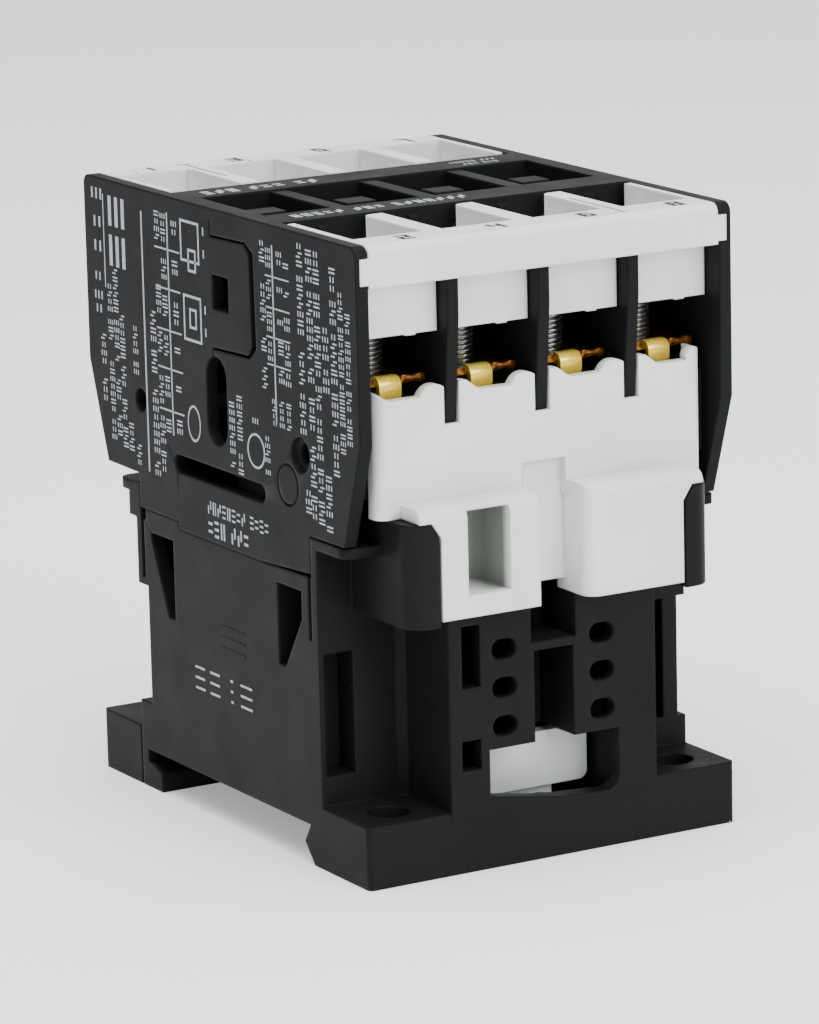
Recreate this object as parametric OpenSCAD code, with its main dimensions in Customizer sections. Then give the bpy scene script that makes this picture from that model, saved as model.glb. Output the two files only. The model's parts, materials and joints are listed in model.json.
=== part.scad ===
// Four-pole contactor for a 35 mm top-hat rail.
// Frame: X across the poles, -Y the load terminals, +Y the line terminals, +Z away from the rail.
// The origin is the middle of the foot's underside.

/* [Overall] */
// Width across the poles, a 45 mm rail module
body_w = 45; // [44:0.5:48]
// Length of the foot along Y
foot_l = 59; // [57:0.5:62]
// Height from the underside to the top face
body_h = 67; // [66:0.5:70]
// Distance between neighbouring poles
pole_pitch = 10.85; // [10.7:0.05:10.9]

/* [Rail and mounting] */
// Height of the two feet
foot_h = 6.67; // [6.4:0.1:7]
// Clear distance between the fixed hook wall and the near foot's lip
rail_gap = 35; // [35:0.1:35.4]
// Distance between mounting screws across the body
mount_x = 35; // [34:0.5:36]
// Distance between mounting screws along the body
mount_y = 50; // [49:0.5:51]
// Diameter of a mounting screw hole
mount_d = 4.5; // [4.2:0.1:4.8]

/* [Switching] */
// Travel of the contact carrier
stroke = 5; // [4.6:0.1:5]
// Open gap of each contact pair
contact_gap = 3.5; // [3.2:0.1:3.5]
// Diameter of a main terminal screw's thread
screw_d = 3.5; // [3.2:0.1:3.6]
// Turns of the coil of each contact spring
spring_turns = 4; // [3:1:6]

/* [Hidden] */
$fn = 48;
e = 0.01;
half_w = body_w / 2;
half_l = foot_l / 2;
wall = 1.4;
inner_w = half_w - wall;
poles = [-1.5, -0.5, 0.5, 1.5];
rib_t = 1.3;

// rail side
rail_top = 4.27;
hook_y = 18.95;
lip_y = hook_y - rail_gap;
slot_near = [[-18.04, -1], [-18.04, 0], [lip_y, 2.24], [-17.33, rail_top]];
slot_far = [[hook_y, rail_top], [hook_y, 2.85], [17.8, 2.75], [16, 2.1], [15.8, 0], [15.8, -1]];

// base shell
load_wall = -20.1;
line_wall = 17.7;
line_shelf = 19.9;
seam_z = 31.66;
tab_z = 30.8;
floor_z = 8;
shell_t = 1.6;
column_w = 12.6;
column_z = 27.9;
flange_y = 26.1;
flange_z = 35.3;
tower_x = 18.4;
tower_in = 14.9;
tower_z = 27.3;
tower_top = 37.9;
tower_r = 2.4;
tower_t = 1.4;

// upper housing
top_z = body_h;
skirt_y = 29.76;
taper_z = 46.55;
chamber_y = 12;
deck_z = 49;
grid_z = 64.6;
cap_z = 62.65;
partition_z = [45.2, 46.7];

// light covers
panel_y = 28.4;
cover_bottom = 38.3;
cover_r = 1.3;
panel_w = 19.7;
ear_x = 17.15;
block_y = 32.2;
block_x = [2.85, 14.65];
block_z = [27.9, 39.7];
window_x = [6.5, 11.55];
window_z = [30.2, 39.05];

// magnet
stack_y = 6;
leg_x = 17.5;
slot_x = 12;
pole_x = 5;
core_z = [9.3, 24];
armature_z = [core_z[1] + stroke + 0.05, 42.3];

// contacts
strip_t = 1;
strip_z = deck_z + strip_t;
tip_t = 1.2;
bridge_tip_t = 1;
bridge_z = strip_z + tip_t + contact_gap + bridge_tip_t;
carrier_top = 64.8;

// terminals
screw_y = 20.5;
clamp_z = 51.4;
head_z = 57.6;
head_r = 3.1;
coil_x = (window_x[0] + window_x[1]) / 2;
coil_y = 25;
coil_screw_z = 36;
coil_screw_r = 1.5;

// ---------- shared shapes ----------

// A block between two corners
module block(x, y, z) {
    translate([x[0], y[0], z[0]]) cube([x[1] - x[0], y[1] - y[0], z[1] - z[0]]);
}

// A rectangle between two corners with four round corners
module round_rect(x, y, r) {
    translate([x[0] + r, y[0]]) square([x[1] - x[0] - 2 * r, y[1] - y[0]]);
    translate([x[0], y[0] + r]) square([x[1] - x[0], y[1] - y[0] - 2 * r]);
    for (cx = [x[0] + r, x[1] - r], cy = [y[0] + r, y[1] - r]) translate([cx, cy]) circle(r);
}

// A profile in (Y, Z) pushed along X
module along_x(x) {
    translate([x[0], 0, 0]) rotate([90, 0, 90]) linear_extrude(x[1] - x[0]) children();
}

// A profile in (X, Z) pushed along Y
module along_y(y) {
    translate([0, y[1], 0]) rotate([90, 0, 0]) linear_extrude(y[1] - y[0]) children();
}

// A profile in (X, Y) pushed along Z
module along_z(z) {
    translate([0, 0, z[0]]) linear_extrude(z[1] - z[0]) children();
}

// The same shape on the load side and, turned half a turn about Z, on the line side
module both_ends() {
    children();
    rotate([0, 0, 180]) children();
}

// The same shape on the left and, mirrored, on the right
module both_sides() {
    children();
    mirror([1, 0, 0]) children();
}

// A stack of rings that stands for a coil spring along Z
module spring(wire_r, coil_r, z, turns) {
    step = (z[1] - z[0] - 2 * wire_r) / turns;
    for (i = [0:turns])
        translate([0, 0, z[0] + wire_r + i * step])
            rotate_extrude() translate([coil_r, 0]) circle(wire_r, $fn = 16);
    for (i = [0:turns - 1])
        translate([coil_r * cos(180 * i), 0, z[0] + wire_r + i * step])
            cylinder(r = wire_r * 0.8, h = step, $fn = 16);
}

// X of a pole's middle, from its index 0 to 3
function pole_mid(i) = poles[i] * pole_pitch;

// X of the three ribs between the poles
rib_mids = [-pole_pitch, 0, pole_pitch];

// ---------- base housing ----------

// Outline of the rail slot in (Y, Z)
module rail_slot() {
    polygon(concat(slot_near, slot_far));
}

// Plate that the rail slot and the mounting holes are cut from
module foot_plate() {
    along_z([0, foot_h]) round_rect([-half_w, half_w], [-half_l, half_l], 0.6);
}

// Lower column that stands in front of the end wall
module end_column(wall_y) {
    difference() {
        block([-column_w, column_w], [-half_l - 0.1, wall_y + 0.2], [foot_h - 1, column_z]);
        block([-column_w + 1.3, column_w - 1.3], [-half_l + 1.5, wall_y + 1], [foot_h, column_z - 1.4]);
    }
    // walls of the middle channel and beside the latch
    block([-4, 4], [-half_l + 1, -21.6], [12.75, column_z]);
    both_sides() block([8.05, 8.8], [-half_l + 1, wall_y + 0.3], [foot_h - 1, 15]);
    // sloping corner between the column and the end wall
    both_sides() along_z([foot_h - 1, column_z - 1])
        polygon([[column_w - 0.2, wall_y - 0.85], [column_w, wall_y - 0.85], [column_w + 0.85, wall_y],
            [column_w + 0.85, wall_y + 0.2], [column_w - 0.2, wall_y + 0.2]]);
}

// Vent holes, slots and channel of one column, with or without the latch window
module column_cuts(latch) {
    y = [-half_l - 1, -half_l + 2];
    for (x = [-5.95, 5.95], z = [15.1, 19.2, 23.3])
        along_y(y) round_rect([x - 1.5, x + 1.5], [z - 1.07, z + 1.07], 1.05);
    block([-11.05, -8.85], y, [19.7, 26.3]);
    block([-11.2, -8.9], y, [10.9, 14.1]);
    // middle channel above and below the crossbar
    block([-2.65, 2.8], [-half_l - 1, -22.8], [23.4, column_z + 1]);
    block([-2.35, 2.45], [-half_l - 1, -22.8], [12.7, 22.5]);
    // latch window over a lip that rises to the left
    if (latch) along_y([-half_l - 1, -20.2]) {
        polygon([[-7.9, 7.75], [0.6, 6.4], [6.4, 6.1], [7.9, 7.6], [7.9, 12.75], [-7.9, 12.75]]);
        translate([6.4, 7.6]) circle(1.5);
    }
}

// Latch channel under the load column, open to the rail slot
module latch_channel() {
    block([-7.9, 7.9], [-27.6, -20.2], [0.8, 12.75]);
    block([-7.9, 7.9], [-20.3, -15], [0.8, 3.3]);
}

// Corner bay over a foot, on the left of the load side: lintel and wiring tower
module corner_bay(lintel_y, lintel_z, lintel_r, depth, r, top) {
    along_z([lintel_z, lintel_z + 1.1]) intersection() {
        round_rect([-half_w, -8], [-lintel_y, -14], lintel_r);
        translate([-half_w, -lintel_y]) square([half_w - tower_in, lintel_y - 18.9]);
    }
    difference() {
        along_z([tower_z, top]) tower_plan(depth, r, 0);
        // hollow open to the middle and below
        along_z([tower_z - 1, top - 1.6]) tower_plan(depth, r - 0.4, tower_t);
        // slanted upper corner under the cover's ear
        along_y([load_wall - depth - 1, load_wall])
            polygon([[-tower_in + 0.1, 36.45], [-16, 38.35], [-tower_in + 0.1, 38.5]]);
    }
}

// Plan of a wiring tower with its outer corner rounded by r, moved inwards by t
module tower_plan(depth, r, t) {
    intersection() {
        round_rect([t - tower_x, 0], [load_wall - depth + t, 0], r);
        translate([-tower_x, load_wall - depth]) square([tower_x - tower_in, depth + 0.2]);
    }
}

// Tall blind opening in the end wall beside a column
module bay_opening(x) {
    block(x, [load_wall - 1, load_wall + 3.4], [9.9, 23]);
}

// Tapered side pocket: flat side towards the middle, slanted side outwards
module side_pocket(inner_y, outer_y, taper_z0) {
    along_x([-half_w - 1, -half_w + 3.3])
        polygon([[inner_y, 20.4], [inner_y, 29.2], [outer_y, 29.2], [outer_y, taper_z0],
            [inner_y + (outer_y - inner_y) * 0.28, 20.4]]);
}

module base_housing() color([0.11, 0.11, 0.12]) {
    difference() {
        union() {
            foot_plate();
            // end and side walls
            block([-half_w, half_w], [load_wall, line_wall], [foot_h - 1, seam_z]);
            block([-half_w, half_w], [line_wall - shell_t, line_shelf], [23, 30.4]);
            for (s = [-1, 1]) end_rim(s);
            end_column(load_wall);
            rotate([0, 0, 180]) end_column(-line_wall);
            corner_bay(flange_y, 34.2, 1.5, 12.1, tower_r, 38.2);
            mirror([1, 0, 0]) corner_bay(flange_y, 34.2, 0.6, 12.1, tower_r, 38.2);
            both_sides() mirror([0, 1, 0]) corner_bay(24.1, 33.1, 1.5, 3.9, 0.8, tower_top);
            // thicker foot of the line wall
            both_sides() block([-half_w, -18.4], [line_wall - 0.1, 20.3], [foot_h - 1, 9.7]);
            both_sides() block([-half_w, -18], [18.9, 21.5], [30.4, 33.2]);
            coil_terminal_seats();
        }
        along_x([-half_w - 1, half_w + 1]) rail_slot();
        // magnet chamber
        difference() {
            block([-half_w + shell_t, half_w - shell_t], [load_wall + shell_t, line_wall - shell_t],
                [floor_z, 40]);
            both_sides() block([14.4, half_w], [load_wall, -15.7], [floor_z - 1, 26.5]);
            // bosses behind the side pockets
            both_sides() block([18.7, half_w], [-17.4, -10.9], [19.6, 30]);
            both_sides() block([18.7, half_w], [10.8, 17.3], [19.6, 30]);
        }
        block([-half_w + shell_t, half_w - shell_t], [0, 18.3], [25, 40]);
        // shelf that the upper housing stands on, lower under its middle tab
        block([-half_w - 1, half_w + 1], [-18.9, 18.9], [seam_z, 40]);
        block([-half_w - 1, half_w + 1], [-8.4, 10], [tab_z, 40]);
        // sloping gap under the upper housing on the load side
        along_x([-half_w - 1, half_w + 1])
            polygon([[-18.9, 31.05], [-8.3, tab_z - 0.05], [-8.3, 40], [-18.9, 40]]);
        // mounting holes
        for (x = [-mount_x / 2, mount_x / 2], y = [-mount_y / 2, mount_y / 2])
            translate([x, y, -1]) cylinder(d = mount_d, h = foot_h + 2);
        column_cuts(true);
        rotate([0, 0, 180]) column_cuts(false);
        latch_channel();
        bay_opening([-21.9, -18.5]);
        bay_opening([15.6, 19.65]);
        // inset right flank beside the load wall
        block([half_w - 1, half_w + 1], [load_wall - 1, -16.6], [9.8, 23.1]);
        side_details();
        mirror([1, 0, 0]) side_details();
        // tips of the coil terminal screws
        both_sides() translate([coil_x, coil_y + 1, coil_screw_z]) rotate([90, 0, 0])
            cylinder(r = coil_screw_r + 0.3, h = 6);
    }
    // post that the latch spring presses on
    block([-1.4, 1.4], [-21.4, -20.3], [0.7, 3]);
}

// Upper rim of the load end (s = -1) or the line end (s = 1)
module end_rim(s) {
    y = s < 0 ? [load_wall, -18.9] : [18.9, -load_wall];
    block([-half_w, half_w], y, [30.3, 34.4]);
    block([-tower_x, tower_x], y, [34.2, tower_top]);
}

// Blocks behind the two coil terminals, on the line end
module coil_terminal_seats() {
    both_sides() block([coil_x - 2.8, coil_x + 2.8], [17.5, coil_y - 0.05], [27, tower_top]);
}

// Pockets and grooves of one flank
module side_details() {
    side_pocket(11.5, 16.6, 28.6);
    side_pocket(-11.6, -16.7, 26.2);
    // grooves beside the corner posts
    block([-half_w - 1, -half_w + 0.8], [18.2, 18.8], [23.9, seam_z]);
    block([-half_w - 1, -half_w + 0.8], [-18.75, -18.2], [24.3, seam_z]);
    // joint line across the far foot
    block([-half_w - 1, -half_w + 0.25], [20.35, 20.6], [-1, foot_h + 1]);
}

// ---------- upper housing ----------

// Outline of a side wall in (Y, Z)
module wall_outline() {
    difference() {
        polygon([[-18.85, 31.45], [-8.35, tab_z], [9.95, tab_z], [9.95, seam_z],
            [18.85, seam_z], [18.85, 35.45], [flange_y, 35.55], [skirt_y, taper_z],
            [skirt_y, top_z], [-skirt_y, top_z], [-skirt_y, taper_z], [-flange_y, 35.55],
            [-18.85, 35.45]]);
        // round upper corners
        for (s = [-1, 1]) translate([s * skirt_y, top_z]) difference() {
            square(2.2, center = true);
            translate([-s * 1.1, -1.1]) circle(1.1);
        }
    }
}

// Rib between two poles in (Y, Z), load side
module rib_outline() {
    polygon([[-28.05, 47.5], [-29.05, 58.5], [-29.05, cap_z - 0.1], [-12.9, cap_z - 0.1],
        [-12.9, grid_z + 0.1], [-4.3, grid_z + 0.1], [-4.3, deck_z - 1], [-25.5, deck_z - 1],
        [-25.5, 47.5]]);
}

// Deck, chamber wall, ribs and top bar of one end
module end_works() {
    block([-inner_w - e, inner_w + e], [-26, -4.6], [partition_z[0], deck_z]);
    block([-inner_w - e, inner_w + e], [-26, -24.8], [40.2, partition_z[0] + e]);
    block([-inner_w - e, inner_w + e], [-18.4, -17.2], [seam_z + 0.1, partition_z[0] + e]);
    block([-inner_w - e, inner_w + e], [-chamber_y, -10.8], [deck_z - e, grid_z + e]);
    block([-inner_w - e, inner_w + e], [-chamber_y, -7], [grid_z, top_z]);
    for (x = rib_mids) along_x([x - rib_t / 2, x + rib_t / 2]) rib_outline();
    // stiffener on the chamber wall in each screwdriver well
    for (i = [0:3]) block([pole_mid(i) - 0.6, pole_mid(i) + 0.6], [-chamber_y - 0.5, -chamber_y + e],
        [57, 66.2]);
}

// What is cut from one end: contact strips, screw tips, blind notches for the cover's end tabs
module end_cuts() {
    both_sides() block([20, 22.05], [-31, -27.7], [62.9, 65.85]);
    for (i = [0:3]) {
        block([pole_mid(i) - 3.1, pole_mid(i) + 3.1], [-13, -10], [deck_z, strip_z + 0.1]);
        translate([pole_mid(i), -screw_y, 40]) cylinder(d = 4.6, h = 10);
    }
}

// Recesses of one flank, cut into the left wall
module flank_recesses() {
    deep = [-half_w - 1, -inner_w + 0.2];
    // knock-out lid: a groove on three sides and a finger hole
    along_x([-half_w - 1, -half_w + 1.1]) difference() {
        polygon([[0.9, 64.15], [-6.7, 64.35], [-8.35, 63.4], [-8.55, 53.4], [-7.1, 52.15], [0.9, 51.9]]);
        polygon([[1, 63.93], [-6.4, 64.1], [-7.45, 63.1], [-7.65, 53.7], [-6.85, 52.45], [1, 52.15]]);
    }
    block(deep, [-2.8, 0.7], [56.3, 60]);
    // slot with round ends, let into the partition
    along_x([-half_w - 1, -19]) {
        translate([-1.8, 43.8]) square([4.4, 5.2]);
        for (z = [43.8, 49]) translate([0.4, z]) circle(2.2);
    }
    // hairlines that join the lid to the slot and to the top
    block([-half_w - 1, -half_w + 0.2], [0.75, 0.9], [51.1, 52]);
    block([-half_w - 1, -half_w + 0.2], [0.8, 0.95], [64.1, 65.8]);
    along_x(deep) round_rect([-9.6, 10.4], [37.1, 39.1], 0.95);
    // round marks: a small hole, a counterbored hole and a flush disc's groove
    along_x(deep) translate([17.8, 43.7]) circle(1.3);
    along_x(deep) translate([-17.4, 43.75]) circle(1.1);
    along_x([-half_w - 1, -half_w + 0.6]) translate([-17.4, 43.75]) circle(1.9);
    along_x([-half_w - 1, -half_w + 0.25]) translate([-14.55, 40.1]) difference() {
        circle(2.25);
        circle(2.05);
    }
}

module upper_housing() color([0.19, 0.2, 0.22]) difference() {
    union() {
        both_sides() along_x([-half_w, -inner_w]) wall_outline();
        both_ends() end_works();
        // floor between contacts and magnet
        block([-inner_w - e, inner_w + e], [-17.3, 17.3], partition_z);
        // crossbars and ends of the top windows
        for (x = rib_mids) block([x - 0.95, x + 0.95], [-7 - e, 7 + e], [grid_z, top_z - 0.2]);
        both_sides() block([-inner_w - e, -20.2], [-7 - e, 7 + e], [grid_z, top_z]);
    }
    both_ends() end_cuts();
    // slots for the carrier's two stems
    both_sides() block([4.7, 12.3], [-3.2, 3.2], [40, 50]);
    // slots for the coil terminal plates
    both_sides() block([coil_x - 2.9, coil_x + 2.9], [16, 20], [38.1, 39.1]);
    flank_recesses();
    mirror([1, 0, 0]) flank_recesses();
}

// ---------- light covers ----------

// Terminal cover of the load side: front strip, tongues over the ribs, a block in each pole
module terminal_cover() {
    difference() {
        union() {
            // front strip with a round upper edge
            along_x([-20.95, 20.95]) {
                translate([-29.75, cap_z]) square([4.6, top_z - cap_z - 1]);
                translate([-28.75, cap_z]) square([3.6, top_z - cap_z]);
                translate([-28.75, top_z - 1]) circle(1);
            }
            both_sides() block([20.9, 22], [-29.75, -27.85], [63, 65.75]);
            block([-20.95, 20.95], [-27.1, -13.05], [cap_z, 63.6]);
            for (x = rib_mids) along_z([cap_z, top_z]) {
                translate([x - 1.2, -25.3]) square([2.4, 11]);
                translate([x - 0.2, -25.3]) square([1.4, 12.2]);
                translate([x - 0.2, -14.1]) circle(1);
            }
            // outer tongues along the side walls
            block([20.1, 20.95], [-25.3, -13.1], [cap_z, top_z]);
            block([-20.95, -20.1], [-25.3, -13.1], [cap_z, top_z]);
            for (i = [0:3]) {
                block(block_span(i), [-27.1, -13.05], [57, cap_z + e]);
                // nib under each block
                block([pole_mid(i) + 0.9, pole_mid(i) + 2.1], [-27.1, -25.9], [56.85, 57 + e]);
            }
        }
        for (i = [0:3]) translate([pole_mid(i), -screw_y, 50]) cylinder(r = head_r + 0.35, h = 20);
    }
}

// X span of the cover's block in pole i, clear of the ribs and walls
function block_span(i) = [
    i == 0 ? -20.95 : rib_mids[i - 1] + rib_t / 2 + 0.15,
    i == 3 ? 20.95 : rib_mids[i] - rib_t / 2 - 0.15];

module terminal_cover_load() color([0.83, 0.84, 0.83]) terminal_cover();

module terminal_cover_line() color([0.83, 0.84, 0.83]) rotate([0, 0, 180]) terminal_cover();

// Front panel of a coil cover in (X, Z): dips for the wires, humps beside the ribs
module panel_outline() {
    difference() {
        union() {
            translate([-panel_w, cover_bottom]) square([2 * panel_w, 50.6 - cover_bottom]);
            for (i = [0:3]) intersection() {
                translate([pole_mid(i), 0]) {
                    polygon([[-4.8, 50.5], [-4.8, 51.8], [-3.6, 51.75], [-2.6, 51], [-1.9, 50.6]]);
                    if (i < 3) translate([3.4, 49.9]) circle(1.85);
                    else translate([2.4, 50.9]) circle(1);
                }
                translate([max(block_span(i)[0], -panel_w), 45]) square([9.95, 10]);
            }
        }
        for (x = rib_mids) translate([x - 0.9, 47.45]) square([1.8, 10]);
    }
}

// Plan of the panel: a front with two round corners and a return at each end
module panel_plan() {
    difference() {
        round_rect([-panel_w, panel_w], [-panel_y, 0], cover_r);
        translate([1.2 - panel_w, 1.2 - panel_y]) square([2 * panel_w - 2.4, 40]);
        translate([-half_w, -26.2]) square([body_w, 40]);
    }
}

// One projecting block of a coil cover, on the left; r rounds its inner front edge
module cover_block(r) {
    intersection() {
        union() {
            along_z(block_z) {
                translate([-block_x[1], -block_y]) square([block_x[1] - block_x[0] - r, 6.2]);
                translate([-block_x[1], -block_y + r]) square([block_x[1] - block_x[0], 6.2 - r]);
                translate([-block_x[0] - r, -block_y + r]) circle(r);
            }
            // ear over the wiring tower
            block([-ear_x, -block_x[1] + e], [-block_y, -panel_y + 0.2], [cover_bottom, block_z[1]]);
        }
        // round top and bottom front edges
        along_x([-half_w, half_w]) {
            translate([-block_y + 1.4, 20]) square([10, 30]);
            translate([-block_y, block_z[0]]) square([10, block_z[1] - block_z[0] - 1.4]);
            translate([-block_y + 1.4, block_z[1] - 1.4]) circle(1.4);
        }
    }
    // sloping shoulder under the ear, beside the wiring tower
    along_y([-block_y, -panel_y + 0.2])
        polygon([[-block_x[1] + e, 36.65], [-block_x[1] - 1.1, cover_bottom + e],
            [-block_x[1] + e, cover_bottom + e]]);
}

// Hollow behind one block, open to the back
module cover_hollow() {
    block([-block_x[1] + 1.2, -block_x[0] - 1.2], [-block_y + 1.2, -20],
        [block_z[0] + 1.2, block_z[1] - 1.4]);
}

// Window of one block, right through or blind
module cover_window(y1) {
    block([-window_x[1], -window_x[0]], [-block_y - 1, y1], window_z);
}

// Coil cover of the load side; a blind cover has one blind window, an open one has two windows
module coil_cover(open) {
    difference() {
        union() {
            intersection() {
                along_y([-panel_y - 1, -26]) panel_outline();
                along_z([cover_bottom - 1, 54]) panel_plan();
            }
            cover_block(open ? 1.6 : 0.2);
            mirror([1, 0, 0]) cover_block(1.6);
            // back of the middle channel
            block([-block_x[0] - 1.2, block_x[0] + 1.2], [-27.4, -26.2], [29.2, 43.4]);
            // deep back of the blind window
            if (!open) block([-12.75, -5.3], [-27, -23.2], [29, 39.4]);
        }
        difference() {
            union() {
                cover_hollow();
                mirror([1, 0, 0]) cover_hollow();
            }
            block([-block_x[0] - 1.2, block_x[0] + 1.2], [-27.4, -26.2], [29.2, 43.4]);
            if (!open) block([-12.75, -5.3], [-31.1, -23.2], [29, 39.4]);
        }
        // middle channel
        block([-block_x[0] + 0.25, block_x[0] - 0.25], [-40, -27.4], [20, 42.2]);
        if (open) both_sides() cover_window(-25);
        if (!open) {
            cover_window(-26.7);
            // round back of the blind window
            along_z(window_z) translate([-coil_x, -26.7]) circle((window_x[1] - window_x[0]) / 2);
        }
    }
}

module coil_cover_load() color([0.83, 0.84, 0.83]) coil_cover(false);

module coil_cover_line() color([0.83, 0.84, 0.83]) rotate([0, 0, 180]) coil_cover(true);

// ---------- magnet and coil ----------

// Shading ring around half of the right pole face
module shading_ring(grow) {
    along_z([22.1 - grow, 23.3 + grow]) difference() {
        translate([14.4 - grow, -0.5 - grow]) square([3.7 + 2 * grow, 7.1 + 2 * grow]);
        translate([15.2 + grow, 0.3 + grow]) square([2.3 - grow, 5.7 - grow]);
    }
}

module fixed_core() color([0.45, 0.46, 0.48]) difference() {
    union() {
        block([-leg_x, leg_x], [-stack_y, stack_y], [core_z[0], core_z[0] + 6]);
        for (x = [[-leg_x, -slot_x], [-pole_x, pole_x], [slot_x, leg_x]])
            block(x, [-stack_y, stack_y], core_z);
    }
    both_sides() shading_ring(0.02);
    // rivet holes through the stack
    for (x = [-14.75, 0, 14.75]) translate([x, 0, core_z[0] + 3]) rotate([90, 0, 0])
        cylinder(d = 2.4, h = 20, center = true);
}

module shading_rings() color([0.72, 0.45, 0.2]) both_sides() shading_ring(0);

module core_cushion() color([0.15, 0.15, 0.15]) block([-17, 17], [-5.5, 5.5], [floor_z, core_z[0]]);

module armature_core() color([0.45, 0.46, 0.48]) difference() {
    union() {
        block([-leg_x, leg_x], [-stack_y, stack_y], [37, armature_z[1]]);
        for (x = [[-leg_x, -slot_x], [-pole_x, pole_x], [slot_x, leg_x]])
            block(x, [-stack_y, stack_y], armature_z);
    }
    key_shape(0.1);
}

// Flat key that ties the armature to the carrier
module key_shape(grow) {
    block([-2.2 - grow, 2.2 + grow], [-8.3, 8.3], [39 - grow, 40.2 + grow]);
}

module armature_key() color([0.6, 0.6, 0.62]) key_shape(0);

module coil_bobbin() color([0.85, 0.84, 0.78]) difference() {
    union() {
        block([-11.7, 11.7], [-13.5, 13.5], [15.4, 16.6]);
        block([-11.7, 11.7], [-13.5, 13.5], [30, 31.2]);
        block([-6.2, 6.2], [-7.2, 7.2], [15.4, 31.2]);
        // lugs that carry the terminal plates
        both_sides() block([coil_x - 2.6, coil_x + 2.6], [13.4, 15.6], [30, 31.2]);
    }
    block([-5.3, 5.3], [-6.3, 6.3], [15, 32]);
}

module coil_winding() color([0.6, 0.3, 0.12]) along_z([16.65, 29.95]) difference() {
    round_rect([-11.2, 11.2], [-12.9, 12.9], 4);
    translate([-6.25, -7.25]) square([12.5, 14.5]);
}

module coil_terminal_plates() color([0.75, 0.72, 0.6]) both_sides() difference() {
    union() {
        block([coil_x - 2.7, coil_x + 2.7], [coil_y, coil_y + 0.8], [29.5, 39]);
        block([coil_x - 2.7, coil_x + 2.7], [14.4, coil_y + 0.8], [38.2, 39]);
        block([coil_x - 1.2, coil_x + 1.2], [14.4, 15.2], [31.2, 39]);
    }
    translate([coil_x, coil_y + 2, coil_screw_z]) rotate([90, 0, 0])
        cylinder(r = coil_screw_r + 0.05, h = 4);
}

module return_springs() color([0.7, 0.7, 0.72])
    for (s = [-1, 1]) translate([0, s * 10.6, 0]) spring(0.3, 1.8, [31.2, 42.4], 6);

// ---------- carrier, bridges and contacts ----------

// Guide of one bridge: cheeks, window and top
module carrier_tower(x) {
    difference() {
        block([x - 3.9, x + 3.9], [-3.2, 3.2], [bridge_z - e, carrier_top]);
        block([x - 2.6, x + 2.6], [-4, 4], [bridge_z, carrier_top - 2.2]);
    }
    // stud in the top window
    block([x - 1.8, x + 1.8], [-1.6, 1.6], [carrier_top - e, 66.2]);
}

module contact_carrier() color([0.14, 0.14, 0.15]) difference() {
    union() {
        for (i = [0:3]) carrier_tower(pole_mid(i));
        block([-20.4, 20.4], [-3.2, 3.2], [bridge_z - 3.5, bridge_z]);
        both_sides() block([5, 12], [-2.8, 2.8], [44.3, bridge_z - 3.5 + e]);
        // frame over the armature and the skirts that grip it
        block([-18.5, 18.5], [-13, 13], [42.4, 44.4]);
        for (s = [-1, 1])
            block([-6, 6], [s * 7.15 - 0.95, s * 7.15 + 0.95], [37.6, 42.4 + e]);
    }
    block([-2.3, 2.3], [-9, 9], [38.9, 40.3]);
}

// Bridge of pole i
module bridge(i) {
    difference() {
        translate([pole_mid(i), 0, 0]) along_z([bridge_z, bridge_z + 1]) union() {
            round_rect([-2.3, 2.3], [-9, 9], 0.8);
        }
        // dimple that centres the spring
        translate([pole_mid(i), 0, bridge_z + 0.7]) cylinder(r = 0.9, h = 1);
    }
}

module bridge_tips(i) {
    for (s = [-1, 1]) block([pole_mid(i) - 1.8, pole_mid(i) + 1.8], [s * 7.1 - 1.5, s * 7.1 + 1.5],
        [bridge_z - bridge_tip_t, bridge_z]);
}

module contact_spring(i) {
    translate([pole_mid(i), 0, 0]) spring(0.28, 1.6, [bridge_z + 1, carrier_top - 2.2], spring_turns);
}

// Contact strips of the load side, each with its terminal hole
module contact_strips() {
    for (i = [0:3]) difference() {
        block([pole_mid(i) - 3, pole_mid(i) + 3], [-25, -5.2], [deck_z, strip_z]);
        translate([pole_mid(i), -screw_y, deck_z - 1]) cylinder(r = screw_d / 2 + 0.05, h = 4);
    }
}

module fixed_contacts_load() color([0.78, 0.6, 0.3]) contact_strips();

module fixed_contacts_line() color([0.78, 0.6, 0.3]) rotate([0, 0, 180]) contact_strips();

module fixed_contact_tips() color([0.8, 0.8, 0.78])
    for (i = [0:3], s = [-1, 1])
        block([pole_mid(i) - 1.8, pole_mid(i) + 1.8], [s * 7.1 - 1.5, s * 7.1 + 1.5],
            [strip_z, strip_z + tip_t]);

// ---------- terminals ----------

// Pole index and end (-1 load, 1 line) of terminal n: odd numbers are on the line side
function term_pole(n) = floor((n - 1) / 2);
function term_end(n) = n % 2 == 0 ? -1 : 1;

// Puts a load-side shape at terminal n
module at_terminal(n) {
    if (term_end(n) < 0) translate([pole_mid(term_pole(n)), 0, 0]) children();
    else translate([pole_mid(term_pole(n)), 0, 0]) mirror([0, 1, 0]) children();
}

// Clamp plate with a curled front tab, a rear tab and a raised wing
module clamp_plate() {
    difference() {
        block([-3.9, 3.9], [-24.4, -16.6], [clamp_z, clamp_z + 1]);
        translate([0, -screw_y, clamp_z - 1]) cylinder(r = screw_d / 2 + 0.1, h = 4);
    }
    along_x([-1.2, 1.2]) {
        intersection() {
            translate([-24.4 + e, clamp_z]) circle(1);
            translate([-26, clamp_z]) square([1.62, 2]);
        }
        translate([-25.4 + e, strip_z + 0.1]) square([0.9, clamp_z - strip_z]);
    }
    block([-1.2, 1.2], [-16.7, -15.8], [strip_z + 0.1, clamp_z + 1]);
    block([1.7, 3.9], [-25.3, -24.3], [clamp_z + 0.4, clamp_z + 1]);
}

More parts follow.
